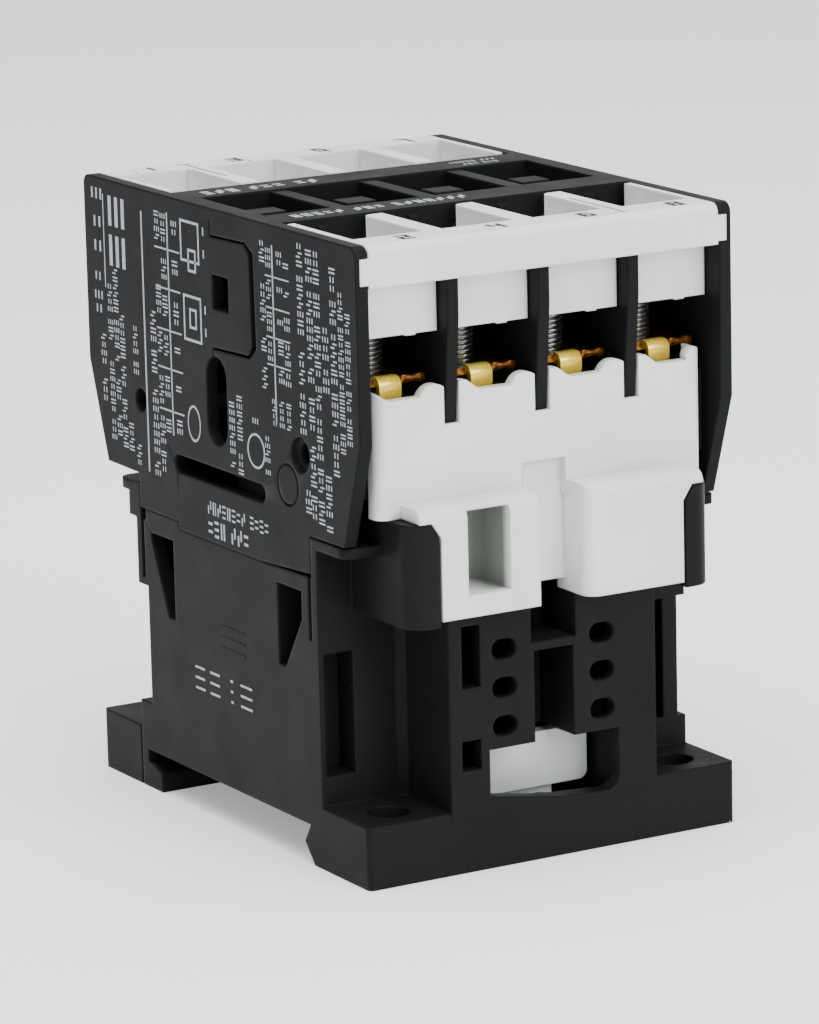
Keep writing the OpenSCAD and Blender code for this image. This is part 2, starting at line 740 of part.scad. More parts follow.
// Clamp screw with a cross-slotted head
module clamp_screw() {
    translate([0, -screw_y, 0]) {
        translate([0, 0, 47.4]) cylinder(d = screw_d, h = head_z - 47.4 + e);
        translate([0, 0, 46.6]) cylinder(d1 = screw_d - 1.4, d2 = screw_d, h = 0.81);
        difference() {
            translate([0, 0, head_z]) cylinder(r = head_r, h = 2.4);
            for (a = [0, 90]) rotate([0, 0, a + 20])
                block([-2.2, 2.2], [-0.4, 0.4], [head_z + 1, head_z + 3]);
        }
    }
}

// Square clamp and slotted screw of the coil terminal at s (-1 left, 1 right)
module coil_clamp(s) {
    difference() {
        block([s * coil_x - 2.45, s * coil_x + 2.45], [coil_y + 0.85, coil_y + 1.65],
            [coil_screw_z - 2.9, coil_screw_z + 2.1]);
        translate([s * coil_x, coil_y + 3, coil_screw_z]) rotate([90, 0, 0])
            cylinder(r = coil_screw_r + 0.1, h = 4);
    }
}

module coil_screw(s) {
    translate([s * coil_x, 0, coil_screw_z]) rotate([-90, 0, 0]) {
        translate([0, 0, coil_y - 4.5]) cylinder(r = coil_screw_r, h = 6.3);
        difference() {
            translate([0, 0, coil_y + 1.7]) cylinder(r = 2.4, h = 1.6);
            block([-2.6, 2.6], [-0.35, 0.35], [coil_y + 2.5, coil_y + 4]);
        }
    }
}

// ---------- rail latch ----------

module rail_latch() color([0.9, 0.9, 0.88]) difference() {
    union() {
        // front plate with round lower corners and a raised middle
        along_y([-23.8, -22.2]) {
            round_rect([-7.55, 7.55], [6, 10.95], 1);
            translate([-7.55, 8]) square([15.1, 2.95]);
            polygon([[-6.1, 10.9], [6.1, 10.9], [3.8, 12], [-3.8, 12]]);
        }
        block([-4, 4], [-22.3, -20.7], [3.05, 8]);
        // bar with the nose that hooks under the rail
        along_x([-7.4, 7.4])
            polygon([[-22.8, 1], [-15.9, 1], [-14.9, 2.2], [-14.9, 3.1], [-22.8, 3.1]]);
    }
    // pocket for the spring and its post
    block([-1.7, 1.7], [-24, -16.4], [0, 3.1]);
}

module latch_spring() color([0.7, 0.7, 0.72])
    translate([0, -20.3, 2.05]) rotate([-90, 0, 0]) spring(0.15, 0.75, [0, 3.9], 4);

module bridge_1() color([0.75, 0.5, 0.25]) bridge(0);

module bridge_tips_1() color([0.8, 0.8, 0.78]) bridge_tips(0);

module contact_spring_1() color([0.7, 0.7, 0.72]) contact_spring(0);

module bridge_2() color([0.75, 0.5, 0.25]) bridge(1);

module bridge_tips_2() color([0.8, 0.8, 0.78]) bridge_tips(1);

module contact_spring_2() color([0.7, 0.7, 0.72]) contact_spring(1);

module bridge_3() color([0.75, 0.5, 0.25]) bridge(2);

module bridge_tips_3() color([0.8, 0.8, 0.78]) bridge_tips(2);

module contact_spring_3() color([0.7, 0.7, 0.72]) contact_spring(2);

module bridge_4() color([0.75, 0.5, 0.25]) bridge(3);

module bridge_tips_4() color([0.8, 0.8, 0.78]) bridge_tips(3);

module contact_spring_4() color([0.7, 0.7, 0.72]) contact_spring(3);

module clamp_1() color([0.8, 0.62, 0.25]) at_terminal(1) clamp_plate();

module screw_1() color([0.72, 0.73, 0.74]) at_terminal(1) clamp_screw();

module clamp_2() color([0.8, 0.62, 0.25]) at_terminal(2) clamp_plate();

module screw_2() color([0.72, 0.73, 0.74]) at_terminal(2) clamp_screw();

module clamp_3() color([0.8, 0.62, 0.25]) at_terminal(3) clamp_plate();

module screw_3() color([0.72, 0.73, 0.74]) at_terminal(3) clamp_screw();

module clamp_4() color([0.8, 0.62, 0.25]) at_terminal(4) clamp_plate();

module screw_4() color([0.72, 0.73, 0.74]) at_terminal(4) clamp_screw();

module clamp_5() color([0.8, 0.62, 0.25]) at_terminal(5) clamp_plate();

module screw_5() color([0.72, 0.73, 0.74]) at_terminal(5) clamp_screw();

module clamp_6() color([0.8, 0.62, 0.25]) at_terminal(6) clamp_plate();

module screw_6() color([0.72, 0.73, 0.74]) at_terminal(6) clamp_screw();

module clamp_7() color([0.8, 0.62, 0.25]) at_terminal(7) clamp_plate();

module screw_7() color([0.72, 0.73, 0.74]) at_terminal(7) clamp_screw();

module clamp_8() color([0.8, 0.62, 0.25]) at_terminal(8) clamp_plate();

module screw_8() color([0.72, 0.73, 0.74]) at_terminal(8) clamp_screw();

module coil_clamp_a1() color([0.8, 0.62, 0.25]) coil_clamp(-1);

module coil_clamp_a2() color([0.8, 0.62, 0.25]) coil_clamp(1);

module coil_screw_a1() color([0.72, 0.73, 0.74]) coil_screw(-1);

module coil_screw_a2() color([0.72, 0.73, 0.74]) coil_screw(1);

base_housing();
upper_housing();
terminal_cover_load();
terminal_cover_line();
coil_cover_load();
coil_cover_line();
fixed_core();
shading_rings();
core_cushion();
coil_bobbin();
coil_winding();
coil_terminal_plates();
fixed_contacts_load();
fixed_contacts_line();
fixed_contact_tips();
return_springs();
contact_carrier();
armature_core();
armature_key();
rail_latch();
latch_spring();
bridge_1();
bridge_2();
bridge_3();
bridge_4();
bridge_tips_1();
bridge_tips_2();
bridge_tips_3();
bridge_tips_4();
contact_spring_1();
contact_spring_2();
contact_spring_3();
contact_spring_4();
clamp_1();
clamp_2();
clamp_3();
clamp_4();
clamp_5();
clamp_6();
clamp_7();
clamp_8();
screw_1();
screw_2();
screw_3();
screw_4();
screw_5();
screw_6();
screw_7();
screw_8();
coil_clamp_a1();
coil_clamp_a2();
coil_screw_a1();
coil_screw_a2();
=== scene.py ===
"""Looks of the four-pole rail contactor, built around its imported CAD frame.

X runs across the poles, -Y is the load side, +Z points away from the rail, all in metres.
"""

import json
import math
import random

import bmesh
import bpy
from mathutils import Matrix, Vector


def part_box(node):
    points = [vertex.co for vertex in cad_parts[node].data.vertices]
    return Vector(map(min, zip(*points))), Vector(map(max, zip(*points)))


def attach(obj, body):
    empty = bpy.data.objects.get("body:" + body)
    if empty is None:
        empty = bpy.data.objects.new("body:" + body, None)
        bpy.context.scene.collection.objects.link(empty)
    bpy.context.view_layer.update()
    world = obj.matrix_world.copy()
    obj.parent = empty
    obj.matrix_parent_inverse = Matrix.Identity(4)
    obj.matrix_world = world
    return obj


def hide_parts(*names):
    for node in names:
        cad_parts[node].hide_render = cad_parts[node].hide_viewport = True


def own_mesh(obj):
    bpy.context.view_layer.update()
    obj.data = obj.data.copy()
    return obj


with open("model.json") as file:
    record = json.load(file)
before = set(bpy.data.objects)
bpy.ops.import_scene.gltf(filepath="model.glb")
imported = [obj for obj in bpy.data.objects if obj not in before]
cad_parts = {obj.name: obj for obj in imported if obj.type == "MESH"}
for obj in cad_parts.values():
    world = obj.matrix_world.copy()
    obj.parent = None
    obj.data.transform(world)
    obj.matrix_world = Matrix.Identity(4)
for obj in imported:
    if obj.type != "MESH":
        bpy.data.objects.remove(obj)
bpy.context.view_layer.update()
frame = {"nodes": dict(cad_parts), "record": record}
MM = 0.001
HOUSING = "housing"
rng = random.Random(7)


# ---------- materials ----------

class Shader:
    """A node material with a Principled surface, read in the object's own coordinates."""

    def __init__(self, name, **surface):
        self.slot = name
        self.material = bpy.data.materials.new(name + "_finish")
        self.material.use_nodes = True
        self.tree = self.material.node_tree
        self.surface = self.tree.nodes["Principled BSDF"]
        for key, value in surface.items():
            self.surface.inputs[key.replace("_", " ")].default_value = value
        self.place = self.tree.nodes.new("ShaderNodeTexCoord").outputs["Object"]

    def node(self, kind, **settings):
        made = self.tree.nodes.new("ShaderNode" + kind)
        for key, value in settings.items():
            setattr(made, key, value)
        return made

    def link(self, source, target):
        self.tree.links.new(source, target)

    def into(self, key, source):
        self.link(source, self.surface.inputs[key])

    def math(self, operation, a, b=0.0):
        made = self.node("Math", operation=operation)
        for i, value in enumerate((a, b)):
            if isinstance(value, (int, float)):
                made.inputs[i].default_value = value
            else:
                self.link(value, made.inputs[i])
        return made.outputs[0]

    def stretched(self, scale):
        mapping = self.node("Mapping")
        mapping.inputs["Scale"].default_value = scale
        self.link(self.place, mapping.inputs["Vector"])
        return mapping.outputs[0]

    def noise(self, size, detail=3.0, roughness=0.55, vector=None):
        """Noise whose lumps are about size metres across."""
        made = self.node("TexNoise")
        made.inputs["Scale"].default_value = 1.0 / size
        made.inputs["Detail"].default_value = detail
        made.inputs["Roughness"].default_value = roughness
        self.link(vector or self.place, made.inputs["Vector"])
        return made.outputs["Fac"]

    def span(self, source, low, high, start=0.0, end=1.0):
        made = self.node("MapRange")
        for key, value in (("From Min", start), ("From Max", end), ("To Min", low), ("To Max", high)):
            made.inputs[key].default_value = value
        self.link(source, made.inputs["Value"])
        return made.outputs[0]

    def mix(self, share, a, b):
        made = self.node("Mix", data_type="RGBA")
        sockets = {s.identifier: s for s in made.inputs}
        for key, value in (("A_Color", a), ("B_Color", b)):
            if isinstance(value, tuple):
                sockets[key].default_value = value
            else:
                self.link(value, sockets[key])
        self.link(share, sockets["Factor_Float"])
        return [o for o in made.outputs if o.identifier == "Result_Color"][0]

    def bump(self, height, depth, strength=1.0, below=None):
        made = self.node("Bump")
        made.inputs["Distance"].default_value = depth
        made.inputs["Strength"].default_value = strength
        self.link(height, made.inputs["Height"])
        if below is not None:
            self.link(below, made.inputs["Normal"])
        return made.outputs["Normal"]

    def rounded(self, radius):
        """Normals that run round every edge as if it had that radius."""
        made = self.node("Bevel", samples=6)
        made.inputs["Radius"].default_value = radius
        return made.outputs[0]

    def specks(self, cell, radius, share):
        """Small round spots: one in a share of the cells of that size."""
        made = self.node("TexVoronoi")
        made.inputs["Scale"].default_value = 1.0 / cell
        self.link(self.place, made.inputs["Vector"])
        near = self.math("LESS_THAN", made.outputs["Distance"], radius / cell)
        split = self.node("SeparateColor")
        self.link(made.outputs["Color"], split.inputs[0])
        picked = self.math("LESS_THAN", split.outputs[0], share)
        return self.math("MULTIPLY", near, picked)


def rgb(r, g, b):
    return (r, g, b, 1.0)


def plastic(name, tint, shine, dust=0.0, grain=0.00012, grain_depth=0.000004, gloss=0.5, edge=0.00025):
    """Injection-moulded plastic: fine spark-eroded texture, slow colour drift, a few dust specks."""
    s = Shader(name, Roughness=shine, Specular_IOR_Level=gloss)
    drift = s.span(s.noise(0.018, 2), 0.95, 1.05, 0.3, 0.7)
    dark = tuple(c * 0.93 for c in tint[:3]) + (1.0,)
    light = tuple(min(1.0, c * 1.05) for c in tint[:3]) + (1.0,)
    base = s.mix(s.span(s.noise(0.012, 3), 0.0, 1.0, 0.35, 0.65), dark, light)
    if dust:
        base = s.mix(s.math("MULTIPLY", s.specks(0.0031, 0.00009, dust), 0.8), base, rgb(0.5, 0.5, 0.48))
    s.into("Base Color", base)
    fine = s.noise(grain, 2)
    worn = s.noise(0.004, 4)
    s.into("Roughness", s.math("MULTIPLY", s.span(worn, shine - 0.05, shine + 0.05, 0.3, 0.7), drift))
    s.into("Normal", s.bump(fine, grain_depth, 0.6, s.bump(worn, 0.00001, 0.12, s.rounded(edge))))
    return s


def metal(name, tint, shine, brushed=None, scratch=0.000002):
    """Stamped or drawn metal: fine scratches and cloudy passivation."""
    s = Shader(name, Metallic=1.0, Roughness=shine)
    dark = tuple(c * 0.72 for c in tint[:3]) + (1.0,)
    clouds = s.noise(0.0012, 4)
    s.into("Base Color", s.mix(s.span(clouds, 0.0, 1.0, 0.35, 0.62), dark, tint))
    vector = s.stretched(brushed or (1.0, 1.0, 1.0))
    marks = s.noise(0.0001, 4, 0.7, vector)
    s.into("Roughness", s.span(marks, shine - 0.08, shine + 0.12, 0.3, 0.7))
    s.into("Normal", s.bump(marks, scratch, 0.7))
    return s


def clamp_brass(name):
    """Pressed brass clamp: the front tabs bright yellow brass with a painted highlight, the rest of the
    plate a darker brown.
    """
    s = metal(name, rgb(1.0, 0.72, 0.26), 0.24, (1.0, 1.0, 4.0))
    split = s.node("SeparateXYZ")
    s.link(s.place, split.inputs[0])
    out = s.math("GREATER_THAN", s.math("ABSOLUTE", split.outputs["Y"]), 3.35 * MM)
    middle = s.math("LESS_THAN", s.math("ABSOLUTE", split.outputs["X"]), 1.33 * MM)
    tab = s.math("MULTIPLY", out, middle)
    clouds = s.noise(0.0007, 4)
    plate_brown = s.mix(s.span(clouds, 0.0, 1.0, 0.35, 0.65), rgb(0.14, 0.05, 0.012), rgb(0.46, 0.2, 0.04))
    # the tab's yellow is brightened and its metallic lowered: partly the brass's own colour, partly a
    # painted highlight
    tab_yellow_and_highlight = s.mix(s.span(clouds, 0.0, 1.0, 0.3, 0.7), rgb(1.0, 0.6, 0.03), rgb(1.0, 0.82, 0.13))
    s.into("Base Color", s.mix(tab, plate_brown, tab_yellow_and_highlight))
    s.into("Metallic", s.span(tab, 0.95, 0.45))
    return s


def printed(name, tint):
    """Pad-printed ink: slightly uneven cover and a dull, faintly rough skin."""
    s = Shader(name, Roughness=0.6, Specular_IOR_Level=0.3)
    thin = tuple(c * 0.7 for c in tint[:3]) + (1.0,)
    s.into("Base Color", s.mix(s.span(s.noise(0.0006, 4), 0.0, 1.0, 0.3, 0.6), thin, tint))
    s.into("Normal", s.bump(s.noise(0.00015, 3), 0.000004, 0.5))
    return s


LAMINATION = 0.0005
WIRE_TURN = 0.00026


def laminated(name):
    """Magnet steel: ground edges of thin sheets stacked along Y."""
    s = metal(name, rgb(0.4, 0.41, 0.43), 0.38, (0.3, 1.0, 6.0))
    split = s.node("SeparateXYZ")
    s.link(s.place, split.inputs[0])
    wave = s.math("FRACT", s.math("MULTIPLY", split.outputs["Y"], 1 / LAMINATION))
    gap = s.math("LESS_THAN", wave, 0.12)
    s.into("Normal", s.bump(gap, -0.00003, 1.0))
    return s


def wound(name):
    """Layers of fine enamelled wire, each turn a small ridge."""
    s = Shader(name, Roughness=0.32)
    split = s.node("SeparateXYZ")
    s.link(s.place, split.inputs[0])
    wave = s.math("SINE", s.math("MULTIPLY", split.outputs["Z"], 2 * math.pi / WIRE_TURN))
    s.into("Base Color", s.mix(s.span(s.noise(0.003), 0.0, 1.0, 0.3, 0.7), rgb(0.3, 0.09, 0.03),
                               rgb(0.55, 0.2, 0.06)))
    s.into("Normal", s.bump(wave, 0.00006, 0.8))
    s.surface.inputs["Coat Weight"].default_value = 0.6
    return s


def cover_plastic(name):
    """The covers' light plastic, with painted shade inside the blind window of the load-side coil cover:
    pale at the window's left, dark towards its right.
    """
    s = plastic(name, rgb(0.69, 0.71, 0.68), 0.4, 0.0, 0.00025, 0.000003, edge=0.0004)
    plain = s.surface.inputs["Base Color"].links[0].from_socket
    split = s.node("SeparateXYZ")
    s.link(s.place, split.inputs[0])
    x, y, z = (split.outputs[axis] for axis in "XYZ")
    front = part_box("coil_cover_load")[0].y
    inside = s.math("MULTIPLY", s.span(y, 0.0, 1.0, front + 0.5 * MM, front + 1.6 * MM),
                    s.math("LESS_THAN", y, front + 10 * MM))
    for value, low, high in ((x, -11.65, -6.4), (z, 30.1, 39.15)):
        inside = s.math("MULTIPLY", inside, s.math("GREATER_THAN", value, low * MM))
        inside = s.math("MULTIPLY", inside, s.math("LESS_THAN", value, high * MM))
    # painted shade: inside the window the colour runs from pale at the left to dark at the right
    across = s.span(x, 0.0, 1.0, -11.3 * MM, -6.8 * MM)
    pocket_shade = s.mix(across, rgb(0.9, 0.92, 0.89), rgb(0.15, 0.165, 0.152))
    s.into("Base Color", s.mix(inside, plain, pocket_shade))
    return s


def soft_rubber(name):
    return plastic(name, rgb(0.02, 0.02, 0.02), 0.8, 0.0, 0.0003, 0.00003, gloss=0.2)


BLACK = plastic("black_moulding", rgb(0.0092, 0.0092, 0.0093), 0.42, 0.34, gloss=0.05, edge=0.00045)
SLATE = plastic("slate_moulding", rgb(0.0086, 0.0094, 0.01), 0.44, 0.2, gloss=0.05, edge=0.0004)
LIGHT = cover_plastic("light_moulding")
LATCH = plastic("latch_moulding", rgb(0.62, 0.65, 0.65), 0.34, 0.0, 0.0004, 0.000003)
LATCH.surface.inputs["Subsurface Weight"].default_value = 0.5
LATCH.surface.inputs["Subsurface Radius"].default_value = (0.002, 0.002, 0.002)
BOBBIN = plastic("bobbin_moulding", rgb(0.6, 0.55, 0.42), 0.45)
FELT = soft_rubber("felt_rubber")
BRASS = clamp_brass("terminal_brass")
STRIP = metal("strip_brass", rgb(0.8, 0.55, 0.25), 0.3, (6.0, 1.0, 1.0))
ZINC = metal("zinc_screw", rgb(0.34, 0.35, 0.34), 0.3, (1.0, 1.0, 1.0))
SILVER = metal("silver_contact", rgb(0.8, 0.79, 0.75), 0.35)
WIRE = metal("spring_steel", rgb(0.55, 0.56, 0.57), 0.22)
COPPER = metal("copper_ring", rgb(0.7, 0.33, 0.18), 0.35)
STEEL = laminated("magnet_steel")
WINDING = wound("winding_wire")
INK = printed("white_ink", rgb(0.42, 0.44, 0.48))
GREY_INK = printed("grey_ink", rgb(0.03, 0.03, 0.032))
FINISHES = {s.slot: s for s in (BLACK, SLATE, LIGHT, LATCH, BOBBIN, FELT, BRASS, STRIP, ZINC, SILVER,
                                WIRE, COPPER, STEEL, WINDING)}


# ---------- carried-over CAD nodes ----------

def smooth_by_angle(limit):
    """A geometry-nodes modifier group that shades faces smooth and keeps edges over the limit sharp."""
    tree = bpy.data.node_groups.new("smooth_by_angle", "GeometryNodeTree")
    tree.interface.new_socket("Geometry", in_out="INPUT", socket_type="NodeSocketGeometry")
    tree.interface.new_socket("Geometry", in_out="OUTPUT", socket_type="NodeSocketGeometry")
    start = tree.nodes.new("NodeGroupInput")
    end = tree.nodes.new("NodeGroupOutput")
    faces = tree.nodes.new("GeometryNodeSetShadeSmooth")
    faces.domain = "FACE"
    faces.inputs["Shade Smooth"].default_value = True
    edges = tree.nodes.new("GeometryNodeSetShadeSmooth")
    edges.domain = "EDGE"
    edges.inputs["Shade Smooth"].default_value = False
    angle = tree.nodes.new("GeometryNodeInputMeshEdgeAngle")
    compare = tree.nodes.new("FunctionNodeCompare")
    compare.operation = "GREATER_THAN"
    compare.inputs[1].default_value = limit
    tree.links.new(angle.outputs["Unsigned Angle"], compare.inputs[0])
    tree.links.new(start.outputs[0], faces.inputs["Geometry"])
    tree.links.new(faces.outputs[0], edges.inputs["Geometry"])
    tree.links.new(compare.outputs[0], edges.inputs["Selection"])
    tree.links.new(edges.outputs[0], end.inputs[0])
    return tree


SMOOTH = smooth_by_angle(math.radians(32))


def soften(obj, width, segments=2):
    """Rounds an object's sharp edges by width metres, as a mould or a press leaves them."""
    weld = obj.modifiers.new("weld", "WELD")
    weld.merge_threshold = 0.000002
    flat = obj.modifiers.new("flat", "DECIMATE")
    flat.decimate_type = "DISSOLVE"
    flat.angle_limit = math.radians(0.6)
    obj.modifiers.new("thirds", "TRIANGULATE")
    if width:
        bevel = obj.modifiers.new("bevel", "BEVEL")
        bevel.width = width
        bevel.segments = segments
        bevel.limit_method = "ANGLE"
        bevel.angle_limit = math.radians(38)
        bevel.harden_normals = False
        bevel.miter_outer = "MITER_ARC"
    shade = obj.modifiers.new("shade", "NODES")
    shade.node_group = SMOOTH
    even = obj.modifiers.new("even", "WEIGHTED_NORMAL")
    even.mode = "FACE_AREA"
    even.weight = 80
    even.keep_sharp = True
    return obj


def paint(obj, shader):
    obj.data.materials.clear()
    obj.data.materials.append(shader.material)
    return obj


# width of the rounded edges in millimetres, by the start of the node's name
OTHER_EDGE = 0.06
EDGE = {"base_housing": 0.22, "upper_housing": 0.2, "terminal_cover": 0.3, "coil_cover": 0.35,
        "rail_latch": 0.25, "contact_carrier": 0.12, "fixed_core": 0.1, "armature_core": 0.1,
        "coil_bobbin": 0.12, "coil_winding": 0.4, "coil_clamp": 0.12, "coil_screw": 0.1,
        "coil_terminal_plates": 0.1, "bridge": 0.1, "fixed_contacts": 0.08, "core_cushion": 0.2}


def dress_cad_nodes():
    slots = {part["node"]: part["material_slot"] for part in frame["record"]["subparts"]}
    for name, node in frame["nodes"].items():
        paint(node, FINISHES[slots[name]])
        width = next((w for start, w in EDGE.items() if name.startswith(start)), OTHER_EDGE)
        soften(node, width * MM)


dress_cad_nodes()


# ---------- mesh building ----------

class Solid:
    """A closed mesh put together from boxes, prisms and skinned rings, in millimetres."""

    def __init__(self):
        self.points = []
        self.faces = []

    def skin(self, rings):
        """Joins rings of equal count into a tube and closes both its ends."""
        start, n = len(self.points), len(rings[0])
        for ring in rings:
            self.points += [tuple(c * MM for c in point) for point in ring]
        for r in range(len(rings) - 1):
            a, b = start + r * n, start + (r + 1) * n
            self.faces += [(a + i, a + (i + 1) % n, b + (i + 1) % n, b + i) for i in range(n)]
        self.faces.append(tuple(start + i for i in range(n))[::-1])
        self.faces.append(tuple(start + (len(rings) - 1) * n + i for i in range(n)))

    def box(self, low, high):
        corners = ((low[0], low[1]), (high[0], low[1]), (high[0], high[1]), (low[0], high[1]))
        self.skin([[(x, y, z) for x, y in corners] for z in (low[2], high[2])])

    def along_x(self, outline, low, high):
        """A prism of a (Y, Z) outline between two X values."""
        self.skin([[(x, y, z) for y, z in outline] for x in (low, high)])

    def along_y(self, outline, low, high):
        """A prism of an (X, Z) outline between two Y values."""
        self.skin([[(x, y, z) for x, z in outline] for y in (low, high)])

    def pierced(self, outer, inner, low, high):
        """A plate between two Z values with an outer and an inner outline of equal count."""
        start, n = len(self.points), len(outer)
        for z in (low, high):
            for outline in (outer, inner):
                self.points += [(x * MM, y * MM, z * MM) for x, y in outline]
        for i in range(n):
            j = (i + 1) % n
            for a, b in ((0, 1), (1, 3), (3, 2), (2, 0)):
                a, b = start + a * n, start + b * n
                self.faces.append((a + i, a + j, b + j, b + i))

    def make(self, name, shader, body, edge=0.0, stands_for=(), place=None, slot=None):
        """Turns the mesh into a finished piece that rides on a body."""
        mesh = bpy.data.meshes.new(name)
        mesh.from_pydata(self.points, [], self.faces)
        tidy = bmesh.new()
        tidy.from_mesh(mesh)
        bmesh.ops.recalc_face_normals(tidy, faces=tidy.faces)
        tidy.to_mesh(mesh)
        tidy.free()
        obj = bpy.data.objects.new(name, mesh)
        obj.matrix_world = place or Matrix.Identity(4)
        bpy.context.scene.collection.objects.link(obj)
        paint(obj, shader)
        soften(obj, edge * MM)
        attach(obj, body)
        if stands_for:
            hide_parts(*stands_for)
        return obj


def ring(radius, z, count=48):
    """A level circle of points."""
    return [(radius * math.cos(2 * math.pi * i / count), radius * math.sin(2 * math.pi * i / count), z)
            for i in range(count)]


# ---------- screws ----------

def threaded(root, depth, pitch, low, high, count=48, rows=8):
    """Rings of a right-hand thread that fades in at both ends."""
    rings = []
    for row in range(int((high - low) / pitch * rows) + 1):
        z = low + row * pitch / rows
        fade = min(1.0, (z - low) / pitch, (high - z) / pitch)
        level = []
        for i in range(count):
            wave = (z / pitch - i / count) % 1.0
            ridge = min(1.0, max(0.0, (0.86 - abs(wave - 0.5) * 2) / 0.6))
            radius = root + depth * max(fade, 0.0) * ridge
            turn = 2 * math.pi * i / count
            level.append((radius * math.cos(turn), radius * math.sin(turn), z))
        rings.append(level)
    return rings


def cross_depth(x, y):
    """Depth of a cross recess at a point of the head: four sloping arms and a deeper middle."""
    arm = min(abs(x), abs(y))
    reach = max(abs(x), abs(y))
    wall = min(1.0, max(0.0, (0.52 - arm) / 0.16))
    end = min(1.0, max(0.0, (2.15 - reach) / 0.5))
    heart = min(1.0, max(0.0, (0.85 - math.hypot(x, y)) / 0.25))
    return 1.1 * max(wall * end, heart)


def slot_depth(x, _):
    """Depth of a straight slot across the head."""
    return 0.8 * min(1.0, max(0.0, (0.42 - abs(x)) / 0.12))


def screw(name, body, shank, head_r, low, neck, top, pitch, depth_at, place):
    """A clamp screw along Z in place of its body's node: coned tip, thread, pan head with its recess."""
    solid = Solid()
    depth = 0.2 * shank
    root = shank - depth
    rings = [ring(root * 0.55, low), ring(root * 0.8, low + 0.25), ring(root, low + 0.7)]
    rings += threaded(root, depth, pitch, low + 0.75, neck - 0.1)
    rings += [ring(root * 1.02, neck - 0.05), ring(head_r - 0.12, neck), ring(head_r, neck + 0.14),
              ring(head_r, top - 0.6), ring(head_r - 0.12, top - 0.25), ring(head_r - 0.35, top - 0.06)]
    steps = 14
    for k in range(steps):
        radius = (head_r - 0.5) * (1 - k / steps)
        rings.append([(x, y, z - depth_at(x, y)) for x, y, z in ring(radius, top)])
    solid.skin(rings)
    solid.make(name, ZINC, body, stands_for=(body,), place=place)


def terminal_place(n):
    """(X, Y, end) of terminal n's screw axis from its CAD node: end is -1 on the load side."""
    low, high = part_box(f"screw_{n}")
    middle = (low + high) / 2
    return middle.x, middle.y, -1 if middle.y < 0 else 1


SCREW_HEAD = 2.4
COIL_SCREW_HEAD = 1.6
PITCH = 0.5


def main_screws():
    for n in range(1, 9):
        x, y = terminal_place(n)[:2]
        low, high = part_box(f"screw_{n}")
        turned = Matrix.Translation((x, y, 0)) @ Matrix.Rotation(math.radians(20 + 37 * n), 4, "Z")
        screw(f"clamp_screw_{n}", f"screw_{n}", 1.75, 3.1, low.z / MM,
              high.z / MM - SCREW_HEAD, high.z / MM, PITCH, cross_depth, turned)


def coil_screws():
    for side in ("a1", "a2"):
        low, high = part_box(f"coil_screw_{side}")
        x, z = (low.x + high.x) / 2, (low.z + high.z) / 2
        lying = Matrix.Translation((x, 0, z)) @ Matrix.Rotation(math.radians(-90), 4, "X")
        screw(f"coil_terminal_screw_{side}", f"coil_screw_{side}", 1.5, 2.4,
              low.y / MM, high.y / MM - COIL_SCREW_HEAD, high.y / MM, PITCH, slot_depth, lying)


# ---------- clamps ----------

def rounded_square(half, r, count=64):
    """Outline of a square with round corners, one point per equal angle."""
    outline = []
    for i in range(count):
        turn = 2 * math.pi * (i + 0.5) / count
        c, s = math.cos(turn), math.sin(turn)
        reach = half / max(abs(c), abs(s))
        x, y = reach * c, reach * s
        if min(abs(x), abs(y)) > half - r:
            middle = half - r
            along = middle * (abs(c) + abs(s))
            reach = along + math.sqrt(max(along * along - 2 * middle * middle + r * r, 0.0))
            x, y = reach * c, reach * s
        outline.append((x, y))
    return outline


def curled_tab(end):
    """Side view of a tab that leaves the plate's top, rolls over and hangs down, in (Y, Z)."""
    outer = [(-3.4, 52.38)]
    outer += [(-3.95 + 0.98 * math.cos(a), 51.4 + 0.98 * math.sin(a))
              for a in (math.radians(90 + 12 * i) for i in range(8))]
    outer += [(-4.93, 50.6), (-4.8, 50.12), (-4.35, 50.1), (-4.2, 50.6), (-4.15, 51.3), (-3.4, 51.5)]
    return [(end * -y, z) for y, z in outer]


def clamps():
    # side view of the wing with its two raised ends, in (X, Z)
    notched = [(1.4, 51.72), (1.4, 52.28), (1.58, 52.42), (2.05, 52.42), (2.45, 52.26), (3.1, 52.26),
               (3.5, 52.42), (4.05, 52.4), (4.22, 52.25), (4.22, 51.68), (4.02, 51.5), (3.5, 51.5),
               (3.1, 51.68), (2.4, 51.68), (1.95, 51.54), (1.55, 51.56)]
    outline = rounded_square(3.85, 0.7)
    hole_r = 1.87
    hole = [(hole_r * x / math.hypot(x, y), hole_r * y / math.hypot(x, y)) for x, y in outline]
    for n in range(1, 9):
        x, y, end = terminal_place(n)
        solid = Solid()
        solid.pierced(outline, hole, 51.42, 52.1)
        for side, half in ((end, 1.3), (-end, 1.15)):
            solid.along_x(curled_tab(side), -half, half)
        # raised wing and a small lug on the other corner
        solid.along_y(notched, end * 3.95, end * 4.75)
        solid.box((1.5, min(end * 3.2, end * 4.0), 51.6), (3.7, max(end * 3.2, end * 4.0), 52.05))
        solid.box((-3.8, min(end * 3.6, end * 4.1), 51.45), (-1.45, max(end * 3.6, end * 4.1), 51.95))
        # punch mark on the tab
        solid.box((0.15, min(end * 4.9, end * 4.97), 51.05), (0.5, max(end * 4.9, end * 4.97), 51.12))
        solid.make(f"terminal_clamp_{n}", BRASS, f"clamp_{n}", 0.07, (f"clamp_{n}",),
                   Matrix.Translation((x, y, 0)))


# ---------- springs ----------

